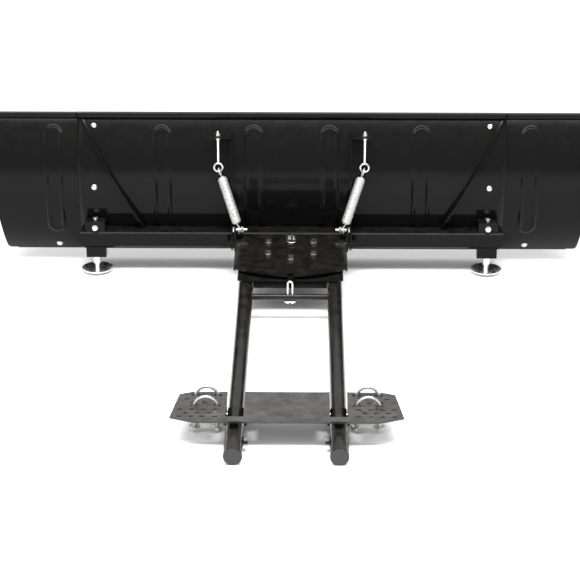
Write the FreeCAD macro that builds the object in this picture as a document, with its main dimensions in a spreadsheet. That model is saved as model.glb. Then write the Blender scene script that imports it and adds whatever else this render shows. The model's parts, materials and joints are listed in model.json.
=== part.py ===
import FreeCAD, Part
import math
import os

# Straight-bladed snow plow for a small four-wheeler, in millimetres.
# +X to the plow's right seen from behind, +Y forward, +Z up; the floor is z = 0.
# The origin is the floor point under the middle of the whole plow.

V = FreeCAD.Vector
DOC = FreeCAD.newDocument("snow_plow")
SHEET = DOC.addObject("Spreadsheet::Sheet", "Dimensions")
SIDES = {"left": -1, "right": 1}

DIMENSIONS = {
    # moldboard: an arc that is hollow to the front
    "bladeRadius": 292.0, "arcCentreFwd": 217.4, "arcCentreUp": 228.2, "sheet": 3.0,
    "centreHalf": 530.0, "bladeLow": 33.0, "bladeTop": 400.0, "lipHigh": 12.0, "lipDeep": 11.0,
    "wingInner": 452.0, "wingHalfLow": 727.0, "wingHalfTop": 760.0, "ribWide": 48.0, "beadWide": 13.0,
    "beadHigh": 3.0, "ribTop": 372.0, "innerRib": 94.0, "outerRib": 321.0, "wingRib": 591.0,
    "shelfUp": 112.0, "shelfBack": 99.0, "angleThick": 4.0, "channelLow": 70.0,
    "wearHigh": 40.0, "wearThick": 6.0,
    # swivel and push frame, in a frame that leans with the tubes about the king pin
    "kingBack": 131.0, "kingUp": 78.0, "frameTilt": 3.42, "swivelHalf": 136.0, "swivelFront": 22.0,
    "swivelRear": 220.0, "plateThick": 5.0, "swivelTop": 34.0, "crossTop": 21.45, "crossThick": 4.0,
    "crossHalf": 125.0, "crossRear": 226.0, "kingHole": 8.2, "kingPin": 8.0,
    "tubeApart": 210.0, "tubeOuter": 34.9, "tubeInner": 29.0, "tubeFront": 80.0, "tubeRear": 989.0,
    "sleeveOuter": 38.1, "sleeveLong": 121.0, "barBack": 267.0, "barThick": 15.0,
    # trip hinge and return springs
    "tripBack": 125.0, "tripUp": 92.0, "ribPlateOut": 147.0, "earOut": 139.0,
    "anchorUp": 130.0, "anchorBack": 125.0, "eyeUp": 279.0, "eyeBack": 86.0, "eyeOut": 180.0,
    "tabUp": 360.0, "coilOuter": 24.0, "coilInner": 17.2, "loopOut": 129.0,
    # skid feet
    "footOut": 490.0, "footBack": 79.0, "discWide": 78.0, "stemThick": 13.0, "socketHalf": 25.0,
    "socketDeep": 15.5, "socketInner": 13.2, "socketLow": 44.0, "socketHigh": 138.0,
    # vehicle mount plate
    "mountFar": 908.0, "mountNear": 1045.0, "mountHalfFar": 222.0, "mountHalfNear": 235.0,
    "mountUp": 54.5, "mountThick": 4.5, "notchWide": 36.0, "hangerBack": 955.0, "hangerPin": 12.5,
    "uBoltOut": 165.0, "uBoltRod": 7.0, "uBoltPitch": 46.0,
    # shift that puts the origin under the middle of the plow
    "midShift": 551.2,
}


def fill_sheet():
    """One row for each driving dimension, with its name beside it and as its alias."""
    for row, (name, value) in enumerate(DIMENSIONS.items(), start=1):
        SHEET.set(f"A{row}", name)
        SHEET.set(f"B{row}", str(value))
        SHEET.setAlias(f"B{row}", name)
    DOC.recompute()


def dim(name):
    return float(SHEET.get(name))


def bind(obj, **sizes):
    """Ties an object's properties to expressions in the sheet's aliases."""
    for prop, text in sizes.items():
        for name in sorted(DIMENSIONS, key=len, reverse=True):
            text = text.replace(name, "\0" + name[::-1] + "\1")
        while "\0" in text:
            head, rest = text.split("\0", 1)
            word, tail = rest.split("\1", 1)
            text = head + "Dimensions." + word[::-1] + tail
        obj.setExpression(prop.replace("_", "."), text)
    return obj


PARTS = []


def finish(label, obj, placement=None):
    """Names a finished sub-part and puts it where it belongs."""
    obj.Label = label
    if placement is not None:
        obj.Placement = placement
    PARTS.append(obj)
    return obj


def shape_part(label, solids, placement=None):
    """A sub-part whose solids come from Part's own functions."""
    obj = DOC.addObject("Part::Feature", "shape_" + label)
    obj.Shape = solids[0] if len(solids) == 1 else Part.makeCompound(solids)
    return finish(label, obj, placement)


def level():
    """Placement of what stands square to the floor."""
    return FreeCAD.Placement(V(0, dim("midShift"), 0), FreeCAD.Rotation())


def leaning():
    """Placement of what leans with the push tubes: its origin is the king pin at the tubes' height."""
    spin = FreeCAD.Rotation(V(1, 0, 0), dim("frameTilt"))
    return FreeCAD.Placement(V(0, dim("midShift") - dim("kingBack"), dim("kingUp")), spin)


def rod(radius, start, end):
    along = end - start
    return Part.makeCylinder(radius, along.Length, start, along)


def slab(x0, x1, y0, y1, z0, z1):
    return Part.makeBox(x1 - x0, y1 - y0, z1 - z0, V(x0, y0, z0))


def prism(points, along):
    wire = Part.makePolygon(points + [points[0]])
    return Part.Face(wire).extrude(along)


def hexagon(centre, axis, across, height):
    """A hexagon bar standing on centre along axis."""
    turn = FreeCAD.Rotation(V(0, 0, 1), axis)
    corner = across / math.sqrt(3)
    points = []
    for k in range(6):
        angle = math.radians(60 * k)
        points.append(centre + turn.multVec(V(corner * math.cos(angle), corner * math.sin(angle), 0)))
    return prism(points, axis * height)


def ring_bar(inner, outer, x0, x1):
    """Round bar along X between two radii about the moldboard's arc centre."""
    centre = V(x0, dim("arcCentreFwd"), dim("arcCentreUp"))
    bar = Part.makeCylinder(outer, x1 - x0, centre, V(1, 0, 0))
    return bar.cut(Part.makeCylinder(inner, x1 - x0, centre, V(1, 0, 0)))


def arc_back(up, radius):
    """Distance forward of the arc's back surface at a height."""
    drop = up - dim("arcCentreUp")
    return dim("arcCentreFwd") - math.sqrt(radius ** 2 - drop ** 2)


def behind(solid, low, high):
    """Keeps the rear stretch of a bar between two heights."""
    return solid.common(slab(-900, 900, -300, 60, low, high))


def hairpin(middle, low, radius, closed):
    """Pressed bead shaped like an upturned U on the back of a sheet."""
    half = dim("ribWide") / 2
    bead = dim("beadWide")
    top = dim("ribTop") - half
    bottom = low + (half if closed else 0)

    def outline(reach):
        body = slab(middle - reach, middle + reach, -300, 60, bottom, top)
        ends = [Part.makeCylinder(reach, 360, V(middle, -300, top), V(0, 1, 0))]
        if closed:
            ends.append(Part.makeCylinder(reach, 360, V(middle, -300, bottom), V(0, 1, 0)))
        return body.multiFuse(ends)

    bead_shape = outline(half).cut(outline(half - bead))
    skin = ring_bar(radius - 1.0, radius + dim("beadHigh"), middle - half - 1, middle + half + 1)
    return skin.common(bead_shape)


def dome_bolt(at, axis, head, grip, shank=4.8):
    """Dome-headed carriage bolt: at is the face its head sits on, axis points out of the head."""
    ball = Part.makeSphere(head * 1.12, at - axis * head * 0.5)
    cap = ball.common(Part.makeCylinder(head, head, at, axis))
    body = cap.fuse(Part.makeCylinder(shank, grip, at - axis * grip, axis))
    return body.fuse(hexagon(at - axis * grip, V(axis) * -1, 14, 6)).removeSplitter()


def hex_bolt(at, axis, across, grip, shank):
    """Hexagon-headed bolt with a washer: at is the face under its washer."""
    washer = Part.makeCylinder(across * 0.62, 1.6, at, axis)
    head = hexagon(at + axis * 1.6, axis, across, across * 0.55)
    tip = Part.makeCylinder(shank, grip, at - axis * grip, axis)
    return washer.multiFuse([head, tip]).removeSplitter()


def normal_at(up, radius):
    """Outward direction of the arc's back surface at a height."""
    out = V(0, arc_back(up, radius) - dim("arcCentreFwd"), up - dim("arcCentreUp"))
    return out.normalize()


def cut_bolt_holes(sheet, holes, shank=5.2):
    for at, axis in holes:
        sheet = sheet.cut(Part.makeCylinder(shank, 60, at - axis * 30, axis))
    return sheet


def lap_bolts(sign):
    """Places and directions of the bolts that hold one wing to the centre section."""
    places = []
    for up in (372.0, 222.0):
        places.append((V(sign * dim("footOut"), arc_back(up, dim("bladeRadius")), up),
                       normal_at(up, dim("bladeRadius"))))
    return places


def wear_bolts(sign):
    """Places and directions of the bolts through a wing's bottom edge."""
    up = 50.0
    radius = dim("bladeRadius") - dim("sheet")
    return [(V(sign * (dim("wingRib") + 2), arc_back(up, radius), up), normal_at(up, radius))]


def moldboard():
    radius = dim("bladeRadius")
    half = dim("centreHalf")
    sheet = behind(ring_bar(radius - dim("sheet"), radius, -half, half), dim("bladeLow"), dim("bladeTop"))
    lip_front = arc_back(dim("bladeTop") - dim("lipHigh"), radius)
    lip = slab(-half, half, lip_front - dim("lipDeep") + 2, lip_front + 8,
               dim("bladeTop") - dim("lipHigh") + 2, dim("bladeTop") + 2)
    lip = lip.cut(Part.makeCylinder(radius - dim("sheet"), 2 * half,
                                    V(-half, dim("arcCentreFwd"), dim("arcCentreUp")), V(1, 0, 0)))
    beads = []
    for middle in (-dim("outerRib"), -dim("innerRib"), dim("innerRib"), dim("outerRib")):
        beads.append(hairpin(middle, dim("shelfUp"), radius, False))
    body = sheet.multiFuse([lip] + beads).removeSplitter()
    holes = lap_bolts(-1) + lap_bolts(1)
    shape_part("moldboard", [cut_bolt_holes(body, holes)], level())


def wing(side, sign):
    """Extension panel that laps in front of the centre section and flares out to its end."""
    radius = dim("bladeRadius") - dim("sheet") - 0.1
    far = dim("wingHalfTop")
    low = dim("bladeLow") + 2
    top = dim("bladeTop")
    x0, x1 = sorted((sign * dim("wingInner"), sign * far))
    sheet = behind(ring_bar(radius - dim("sheet"), radius, x0, x1), low, top)
    lip_front = arc_back(top - dim("lipHigh"), radius)
    y0, y1 = sorted((sign * (dim("centreHalf") + 1), sign * far))
    lip = slab(y0, y1, lip_front - dim("lipDeep") + 5, lip_front + 8, top - dim("lipHigh"), top)
    bead = hairpin(sign * dim("wingRib"), 92.0, radius, True)
    body = sheet.multiFuse([lip, bead])
    outline = [V(sign * dim("wingInner"), -300, low), V(sign * (dim("wingHalfLow") - 6), -300, low),
               V(sign * dim("wingHalfLow"), -300, low + 6), V(sign * far, -300, top),
               V(sign * dim("wingInner"), -300, top)]
    body = body.common(prism(outline, V(0, 400, 0))).removeSplitter()
    body = cut_bolt_holes(body, lap_bolts(sign) + wear_bolts(sign))
    shape_part(f"wing_{side}", [body], level())


def wear_bar(side, sign):
    """Flat scraper strip bolted in front of a wing's bottom edge."""
    radius = dim("bladeRadius") - 2 * dim("sheet") - 0.2
    x0, x1 = sorted((sign * 20.0, sign * (dim("wingHalfLow") - 24)))
    front = radius - dim("wearThick")
    bar = behind(ring_bar(front, radius, x0, x1), dim("bladeLow") - 3, dim("bladeLow") + dim("wearHigh"))
    shape_part(f"wear_bar_{side}", [cut_bolt_holes(bar, wear_bolts(sign))], level())


def bottom_channel():
    """Stiffening channel along the foot of the blade: a flat shelf, an upright back and a lower flange."""
    half, thick = dim("centreHalf") - 2, dim("angleThick")
    back, low, top = -dim("shelfBack"), dim("channelLow"), dim("shelfUp")
    section = [V(-half, 60, top), V(-half, back + 3, top), V(-half, back, top - 3), V(-half, back, low + 6),
               V(-half, back + 6, low), V(-half, 60, low - 22), V(-half, 60, low - 22 + thick),
               V(-half, back + 8, low + thick), V(-half, back + thick, low + 9),
               V(-half, back + thick, top - thick), V(-half, 60, top - thick)]
    bar = prism(section, V(2 * half, 0, 0))
    inside = Part.makeCylinder(dim("bladeRadius") + 0.1, 2 * half,
                               V(-half, dim("arcCentreFwd"), dim("arcCentreUp")), V(1, 0, 0))
    bar = bar.cut(inside)
    for sign in (-1, 1):
        bar = bar.cut(socket_block(sign, 0.2, dim("socketLow") - 5, dim("socketHigh")))
    shape_part("bottom_channel", [bar.removeSplitter()], level())


def socket_block(sign, spare, low, high):
    """Upright block of a foot socket, with some room to spare all round."""
    x, y = sign * dim("footOut"), -dim("footBack")
    wide, deep = dim("socketHalf") + spare, dim("socketDeep") + spare
    return slab(x - wide, x + wide, y - deep, y + deep, low, high)


def gusset(side, sign):
    """Slanting brace on the back of the blade, growing deeper towards its foot."""
    radius = dim("bladeRadius") + 0.1
    high, low = dim("bladeTop") - dim("lipHigh") - 2, dim("shelfUp") + 0.2
    x_top, x_low, thick = sign * 517.0, sign * 372.0, 4.0
    web = prism([V(x_top, -300, high), V(x_top + thick, -300, high), V(x_low + thick, -300, low),
                 V(x_low, -300, low)], V(0, 400, 0))
    inner = V(-900, dim("arcCentreFwd"), dim("arcCentreUp"))
    outer = V(-900, dim("arcCentreFwd") - 12, dim("arcCentreUp") - 12)
    crescent = Part.makeCylinder(radius + 4, 1800, outer, V(1, 0, 0))
    crescent = crescent.cut(Part.makeCylinder(radius, 1800, inner, V(1, 0, 0)))
    shape_part(f"gusset_{side}", [behind(web.common(crescent), low, high)], level())


def rib_plate(side, sign):
    """Upright plate on the blade's back that carries the trip hinge and, at its top, the spring tab."""
    middle, thick = sign * dim("ribPlateOut"), dim("plateThick")
    trip = V(middle, -dim("tripBack"), dim("tripUp"))
    outline = [V(middle - thick / 2, 40, 46), V(middle - thick / 2, -dim("tripBack"), 76),
               V(middle - thick / 2, -dim("tripBack") - 14, 86),
               V(middle - thick / 2, -dim("tripBack") - 14, 98),
               V(middle - thick / 2, -dim("tripBack") + 6, 112), V(middle - thick / 2, -92, 132),
               V(middle - thick / 2, -88, 200), V(middle - thick / 2, -88, 250),
               V(middle - thick / 2, -72, dim("tabUp") + 3), V(middle - thick / 2, 40, dim("tabUp") + 3)]
    web = prism(outline, V(thick, 0, 0))
    inside = Part.makeCylinder(dim("bladeRadius") + 0.1, thick + 2,
                               V(middle - thick / 2 - 1, dim("arcCentreFwd"), dim("arcCentreUp")), V(1, 0, 0))
    web = web.cut(inside)
    web = web.cut(slab(middle - 9, middle + 9, -dim("shelfBack") - 0.2, 80,
                       dim("bladeLow"), dim("shelfUp") + 0.2))
    web = web.cut(Part.makeCylinder(6.1, 20, trip - V(10, 0, 0), V(1, 0, 0)))
    solids = sorted(web.Solids, key=lambda solid: solid.Volume)
    x0, x1 = sorted((middle + sign * thick / 2, sign * (dim("eyeOut") + 14)))
    tab = slab(x0, x1, -100, -66, dim("tabUp") - 3, dim("tabUp"))
    hole_at = V(sign * dim("eyeOut"), -dim("eyeBack"), dim("tabUp") - 10)
    eye_hole = Part.makeCylinder(3.6, 20, hole_at, V(0, 0, 1))
    body = solids[-1].fuse(tab.cut(eye_hole)).removeSplitter()
    shape_part(f"rib_plate_{side}", [body], level())


def foot_socket(side, sign):
    """Block through the foot channel that holds the skid foot's stem, with its clamp bolt."""
    x, y = sign * dim("footOut"), -dim("footBack")
    low, high = dim("socketLow"), dim("socketHigh")
    bore = Part.makeCylinder(dim("socketInner") / 2, 200, V(x, y, 0), V(0, 0, 1))
    block = socket_block(sign, 0, low, high)
    uprights = [edge for edge in block.Edges if abs(edge.BoundBox.ZLength - (high - low)) < 0.1]
    block = block.makeFillet(3, uprights)
    bolt_face = V(x, y - dim("socketDeep"), dim("shelfUp") + 11)
    hole = rod(4.05, bolt_face, bolt_face + V(0, 7, 0))
    shape_part(f"foot_socket_{side}", [block.cut(bore).cut(hole)], level())
    return hex_bolt(bolt_face, V(0, -1, 0), 11, 6.6, 4.0)


def foot(side, sign):
    """Skid foot: dished disc with its grooved stem, its spacer washers and its snap ring."""
    centre = V(sign * dim("footOut"), -dim("footBack"), 0)
    reach = dim("discWide") / 2
    outline = [(0, 0), (reach * 0.6, 0), (reach, 9), (reach, 12), (reach * 0.58, 3.5), (0, 3.5)]
    corners = [centre + V(across, 0, up) for across, up in outline]
    profile = Part.Face(Part.makePolygon(corners + corners[:1]))
    disc = profile.revolve(centre, V(0, 0, 1), 360)
    stem = Part.makeCylinder(dim("stemThick") / 2, dim("socketHigh") + 4, centre + V(0, 0, 3), V(0, 0, 1))
    groove_low = centre + V(0, 0, dim("socketHigh") + 2.5)
    groove = Part.makeCylinder(20, 2.2, groove_low, V(0, 0, 1))
    groove = groove.cut(Part.makeCylinder(dim("stemThick") / 2 - 1.5, 2.2, groove_low, V(0, 0, 1)))
    shape_part(f"skid_foot_{side}", [disc.fuse(stem).cut(groove).removeSplitter()], level())
    washers = []
    for step in range(6):
        low = centre + V(0, 0, dim("socketLow") - 3.2 * (step + 1))
        washer = Part.makeCylinder(9.5, 3, low, V(0, 0, 1))
        washers.append(washer.cut(Part.makeCylinder(dim("stemThick") / 2 + 0.05, 4, low, V(0, 0, 1))))
    shape_part(f"foot_washers_{side}", washers, level())
    ring = Part.makeCylinder(9.5, 2.0, groove_low + V(0, 0, 0.1), V(0, 0, 1))
    ring = ring.cut(Part.makeCylinder(dim("stemThick") / 2 - 1.4, 3, groove_low, V(0, 0, 1)))
    gap = slab(centre.x - 3, centre.x + 3, centre.y - 20, centre.y, groove_low.z, groove_low.z + 5)
    shape_part(f"foot_clip_{side}", [ring.cut(gap)], level())


def wing_bolt_group():
    """Dome-headed bolts with their nuts, all alike: through both laps and through the wear bars."""
    solids = []
    for sign in (-1, 1):
        for at, axis in lap_bolts(sign):
            solids.append(dome_bolt(at, axis, 8.0, 6.4))
        for at, axis in wear_bolts(sign):
            solids.append(dome_bolt(at, axis, 8.0, 9.4))
    shape_part("blade_bolts", solids, level())


def eye_bolt(side, sign):
    """Long bolt with an eye at its foot, hung from the spring tab; returns its nuts, above and below."""
    x, y = sign * dim("eyeOut"), -dim("eyeBack")
    eye = V(x, y, dim("eyeUp"))
    ring = Part.makeTorus(10.4, 2.4, eye, V(0, 1, 0))
    shank = rod(3.0, eye + V(0, 0, 9.5), V(x, y, dim("tabUp") + 12))
    shape_part(f"eye_bolt_{side}", [ring.fuse(shank)], level())
    nuts = []
    for low, axis in ((dim("tabUp") + 0.05, V(0, 0, 1)), (dim("tabUp") - 3.05, V(0, 0, -1))):
        nut = hexagon(V(x, y, low), axis, 12, 6)
        nuts.append(nut.cut(Part.makeCylinder(3.05, 30, V(x, y, dim("tabUp") - 15), V(0, 0, 1))))
    return nuts


def spring(side, sign):
    """Return spring: coil and foot loop, with its top hook apart because it moves as the coil stretches."""
    foot_at = V(sign * dim("loopOut"), -dim("anchorBack"), dim("anchorUp"))
    eye = V(sign * dim("eyeOut"), -dim("eyeBack"), dim("eyeUp"))
    axis = V(eye - foot_at).normalize()
    length = (eye - foot_at).Length
    low, high = foot_at + axis * 16, foot_at + axis * (length - 25)
    coil = rod(dim("coilOuter") / 2, low, high).cut(rod(dim("coilInner") / 2, low - axis, high + axis))
    shape_part(f"spring_coil_{side}", [coil], level())
    loop = Part.makeTorus(8, 1.8, foot_at, V(1, 0, 0))
    stem = rod(1.8, foot_at + axis * 8.5, foot_at + axis * 18)
    plug = rod(dim("coilInner") / 2 - 0.1, foot_at + axis * 17, foot_at + axis * 20)
    shape_part(f"spring_loop_{side}", [loop.multiFuse([stem, plug])], level())
    side_way = axis.cross(V(0, 1, 0)).normalize()
    hook_centre = eye - axis * 11.5
    hook = Part.makeTorus(9, 1.8, hook_centre, side_way)
    neck = rod(1.8, hook_centre - axis * 9.5, foot_at + axis * (length - 28))
    top = rod(dim("coilInner") / 2 - 0.1, foot_at + axis * (length - 29), foot_at + axis * (length - 26))
    shape_part(f"spring_hook_{side}", [hook.multiFuse([neck, top])], level())


def sketch_on(body, role, name):
    """A sketch on one of a body's own base planes."""
    plane = [f for f in body.Origin.OriginFeatures if f.Role == role][0]
    sketch = body.newObject("Sketcher::SketchObject", name)
    sketch.AttachmentSupport = [(plane, "")]
    sketch.MapMode = "FlatFace"
    return sketch


def draw(sketch, points):
    """Straight-sided closed outline."""
    for start, end in zip(points, points[1:] + points[:1]):
        sketch.addGeometry(Part.LineSegment(V(*start, 0), V(*end, 0)), False)


def pad(body, sketch, height, reverse=False):
    feature = body.newObject("PartDesign::Pad", sketch.Name + "_pad")
    feature.Profile = sketch
    feature.Reversed = reverse
    return bind(feature, Length=height)


def pocket(body, sketch):
    feature = body.newObject("PartDesign::Pocket", sketch.Name + "_pocket")
    feature.Profile = sketch
    feature.Type = 1
    feature.Midplane = True
    return feature


def lifted(place, up):
    """The same placement moved up along its own Z."""
    return place.multiply(FreeCAD.Placement(V(0, 0, up), FreeCAD.Rotation()))


def swivel_bolt_places():
    return [(-55, -28), (55, -28), (-55, -97), (55, -97), (0, -127)]


def swivel_plate():
    """Plate that carries the blade: straight front, rear edge an arc about the king pin."""
    body = DOC.addObject("PartDesign::Body", "SwivelPlate")
    sketch = sketch_on(body, "XY_Plane", "swivel_outline")
    half, front, rear = dim("swivelHalf"), dim("swivelFront"), dim("swivelRear")
    side = -math.sqrt(rear ** 2 - half ** 2)
    for start, end in (((-half, side), (-half, -8)), ((-half, -8), (-half + 16, -8)),
                       ((-half + 16, -8), (-half + 16, front)), ((-half + 16, front), (half - 16, front)),
                       ((half - 16, front), (half - 16, -8)), ((half - 16, -8), (half, -8)),
                       ((half, -8), (half, side))):
        sketch.addGeometry(Part.LineSegment(V(*start, 0), V(*end, 0)), False)
    sketch.addGeometry(Part.Arc(V(-half, side, 0), V(0, -rear, 0), V(half, side, 0)), False)
    pad(body, sketch, "plateThick", reverse=True)
    holes = sketch_on(body, "XY_Plane", "swivel_holes")
    holes.addGeometry(Part.Circle(V(0, 0, 0), V(0, 0, 1), dim("kingHole")), False)
    for x, y in swivel_bolt_places():
        holes.addGeometry(Part.Circle(V(x, y, 0), V(0, 0, 1), 4.1), False)
    notch = [(-7, -rear - 1), (7, -rear - 1), (7, -rear + 12), (-7, -rear + 12)]
    draw(holes, notch)
    pocket(body, holes)
    finish("swivel_plate", body, lifted(leaning(), dim("swivelTop")))
    bars = []
    for sign in (-1, 1):
        x0, x1 = sorted((sign * (half - 5), sign * half))
        bars.append(slab(x0, x1, side + 2, -30, dim("swivelTop") - 11, dim("swivelTop") - 5.1))
    shape_part("swivel_rails", bars, leaning())


def swivel_ear(side, sign):
    """Upright ear at a front corner: the trip bolt goes through it low down and the spring bolt high up."""
    x = sign * dim("earOut")
    back, up = dim("anchorBack"), dim("anchorUp")
    outline = [V(x - 2.5, -back - 13, 77), V(x - 2.5, -back + 14, 77), V(x - 2.5, -back + 14, up + 2),
               V(x - 2.5, -back + 6, up + 9), V(x - 2.5, -back - 8, up + 9), V(x - 2.5, -back - 13, up + 4)]
    ear = prism(outline, V(5, 0, 0))
    ear = ear.cut(Part.makeCylinder(6.1, 20, V(x - 10, -dim("tripBack"), dim("tripUp")), V(1, 0, 0)))
    ear = ear.cut(Part.makeCylinder(4.1, 20, V(x - 10, -back, up), V(1, 0, 0)))
    shape_part(f"swivel_ear_{side}", [ear], level())


def swivel_fasteners():
    trip, anchor, nuts = [], [], []
    for sign in (-1, 1):
        out = V(sign, 0, 0)
        face = V(sign * (dim("ribPlateOut") + 2.6), -dim("tripBack"), dim("tripUp"))
        trip.append(hex_bolt(face, out, 17, 30, 6.0))
        nut_at = V(sign * (dim("earOut") - 2.6), -dim("tripBack"), dim("tripUp"))
        nuts.append(hexagon(nut_at, out * -1, 17, 9).cut(rod(6.0, nut_at - out * 40, nut_at + out * 20)))
        face = V(sign * (dim("earOut") + 2.6), -dim("anchorBack"), dim("anchorUp"))
        anchor.append(hexagon(face, out, 13, 2.6).fuse(rod(4.0, face, face - out * 32)))
        nut_at = V(sign * (dim("loopOut") - 4.0), -dim("anchorBack"), dim("anchorUp"))
        nuts.append(hexagon(nut_at, out * -1, 13, 7).cut(rod(4.0, nut_at - out * 40, nut_at + out * 20)))
    shape_part("trip_bolts", trip, level())
    shape_part("spring_bolts", anchor, level())
    shape_part("swivel_nuts", nuts, level())
    top = dim("swivelTop")
    heads = []
    for x, y in swivel_bolt_places():
        heads.append(hex_bolt(V(x, y, top), V(0, 0, 1), 13, 10.8, 4.0))
    shape_part("swivel_bolts", heads, leaning())
    doubler = slab(-70, 70, -144, -14, top - 10.8, top - 5.0)
    doubler = doubler.cut(Part.makeCylinder(26.5, 20, V(0, 0, top - 15), V(0, 0, 1)))
    for x, y in swivel_bolt_places():
        doubler = doubler.cut(Part.makeCylinder(4.05, 20, V(x, y, top - 15), V(0, 0, 1)))
    shape_part("swivel_doubler", [doubler], leaning())


def king_pin():
    """Hitch pin through both plates, with its pull handle and its wire ring."""
    top = dim("swivelTop")
    shank = Part.makeCylinder(dim("kingPin"), top + 8, V(0, 0, -4), V(0, 0, 1))
    collar = Part.makeCylinder(13, 5, V(0, 0, top + 0.2), V(0, 0, 1))
    knob = Part.makeCylinder(9, 5, V(0, 0, top + 5), V(0, 0, 1))
    handle = rod(3.2, V(0, -4, top + 7), V(2, -26, top + 6))
    body = shank.multiFuse([collar, knob, handle]).cut(rod(1.8, V(-6, -20, top + 6.3), V(10, -20, top + 6.3)))
    shape_part("king_pin", [body], leaning())
    ring = Part.makeTorus(12, 1.2, V(1.5, -32, top + 6.3), V(0, 0, 1))
    shape_part("king_pin_ring", [ring], leaning())
    thrust = Part.makeCylinder(26, top - 5.2 - dim("crossTop"), V(0, 0, dim("crossTop")), V(0, 0, 1))
    bore = Part.makeCylinder(dim("kingHole"), top, V(0, 0, 0), V(0, 0, 1))
    shape_part("thrust_collar", [thrust.cut(bore)], leaning())


def cross_plate():
    """Plate across the front of the push tubes that the swivel turns on, with a turned-down rear lip."""
    body = DOC.addObject("PartDesign::Body", "CrossPlate")
    sketch = sketch_on(body, "XY_Plane", "cross_outline")
    half, rear = dim("crossHalf"), dim("crossRear")
    draw(sketch, [(-half, -rear + 12), (-half + 12, -rear), (half - 12, -rear), (half, -rear + 12),
                  (half, -dim("tubeFront")), (30, 14), (-30, 14), (-half, -dim("tubeFront"))])
    pad(body, sketch, "crossThick", reverse=True)
    hole = sketch_on(body, "XY_Plane", "cross_hole")
    hole.addGeometry(Part.Circle(V(0, 0, 0), V(0, 0, 1), dim("kingHole")), False)
    pocket(body, hole)
    finish("cross_plate", body, lifted(leaning(), dim("crossTop")))
    low = dim("crossTop") - dim("crossThick")
    reach = dim("tubeApart") / 2 - dim("tubeOuter") / 2 - 0.7
    lip = slab(-reach, reach, -rear, -rear + 4, low - 14, low)
    shape_part("cross_plate_lip", [lip], leaning())
    pad_block = slab(-6.4, 6.4, -rear + 1, -dim("swivelRear") + 11,
                     dim("crossTop"), dim("swivelTop") - dim("plateThick") - 0.4)
    shape_part("index_pad", [pad_block], leaning())


def tube(side, sign):
    """Push tube and its rear sleeve; returns the sleeve's end cap."""
    x = sign * dim("tubeApart") / 2
    front, rear = -dim("tubeFront"), -dim("tubeRear")
    outer = rod(dim("tubeOuter") / 2, V(x, rear, 0), V(x, front, 0))
    bore = rod(dim("tubeInner") / 2, V(x, rear - 1, 0), V(x, front + 1, 0))
    body = outer.cut(bore)
    hanger = dim("kingBack") - dim("hangerBack")
    along = hanger / math.cos(math.radians(dim("frameTilt")))
    body = body.cut(rod(dim("hangerPin") / 2 + 0.05, V(x - 30, along, 0), V(x + 30, along, 0)))
    body = body.cut(rod(3.1, V(x, -dim("barBack") + 25, 0), V(x, -dim("barBack") + 25, 40)))
    body = body.cut(rod(dim("barThick") / 2, V(0, -dim("barBack"), 0), V(x, -dim("barBack"), 0)))
    shape_part(f"push_tube_{side}", [body], leaning())
    start = V(x, rear, 0)
    end = V(x, rear + dim("sleeveLong"), 0)
    sleeve = rod(dim("sleeveOuter") / 2, start, end).cut(rod(dim("tubeOuter") / 2 + 0.02, start, end))
    bolt_y = rear + 60
    sleeve = sleeve.cut(rod(4.1, V(x, bolt_y, 0), V(x - sign * 40, bolt_y, 0)))
    shape_part(f"rear_sleeve_{side}", [sleeve], leaning())
    cap = rod(dim("sleeveOuter") / 2 - 0.6, V(x, rear - 3, 0), V(x, rear - 0.02, 0))
    plug = rod(dim("tubeInner") / 2 - 0.05, V(x, rear - 1, 0), V(x, rear + 18, 0))
    return cap.fuse(plug)


def tube_fittings():
    """Crossbar between the tubes, its lift loop with saddle and nuts, and the sleeve set screws."""
    x = dim("tubeApart") / 2 - dim("tubeOuter") / 2
    y = -dim("barBack")
    reach = dim("barThick") / 2
    bar = rod(reach - 0.05, V(-x - 5, y, 0), V(x + 5, y, 0))
    for offset in (-5.5, 5.5):
        bar = bar.cut(rod(2.55, V(offset, y, -20), V(offset, y, 20)))
    shape_part("cross_bar", [bar], leaning())
    arch = Part.makeTorus(5.5, 2.5, V(0, y, 34), V(0, 1, 0)).common(slab(-20, 20, y - 20, y + 20, 34, 60))
    legs = [rod(2.5, V(offset, y, -17), V(offset, y, 34.1)) for offset in (-5.5, 5.5)]
    shape_part("lift_loop", [arch.multiFuse(legs).removeSplitter()], leaning())
    saddle = slab(-13, 13, y - 8, y + 8, -reach - 3, -reach - 0.1)
    nuts = []
    for offset in (-5.5, 5.5):
        at = V(offset, y, -reach - 3.1)
        hole = rod(2.55, V(offset, y, -30), V(offset, y, 0))
        nuts.append(hexagon(at, V(0, 0, -1), 8, 5).cut(hole))
        saddle = saddle.cut(hole)
    shape_part("lift_loop_saddle", [saddle], leaning())
    shape_part("lift_loop_nuts", nuts, leaning())
    screws = []
    for sign in (-1, 1):
        face = V(sign * (dim("tubeApart") / 2 - dim("sleeveOuter") / 2 - 0.2), -dim("tubeRear") + 60, 0)
        screws.append(hex_bolt(face, V(-sign, 0, 0), 13, 1.7, 4.0))
    shape_part("sleeve_screws", screws, leaning())


def slot_places():
    """Staggered rows of short slots on each end of the mount plate."""
    places = []
    for row in range(7):
        stagger = 12.0 if row % 2 else 0.0
        for column in range(4):
            places.append((144 + stagger + column * 24.0, -dim("mountNear") + 22 + row * 16.0))
    return [(x, y) for x, y in places if x < 226 - 0.12 * (y + dim("mountNear"))
            and not_on_leg(x, y)]


def u_bolt_rows():
    return (-973.0, -924.0)


def not_on_leg(x, y):
    for row in u_bolt_rows():
        for leg in (-1, 1):
            at = dim("uBoltOut") + leg * dim("uBoltPitch") / 2
            if abs(x - at) < 17 and abs(y - row) < 8:
                return False
    return True


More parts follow.
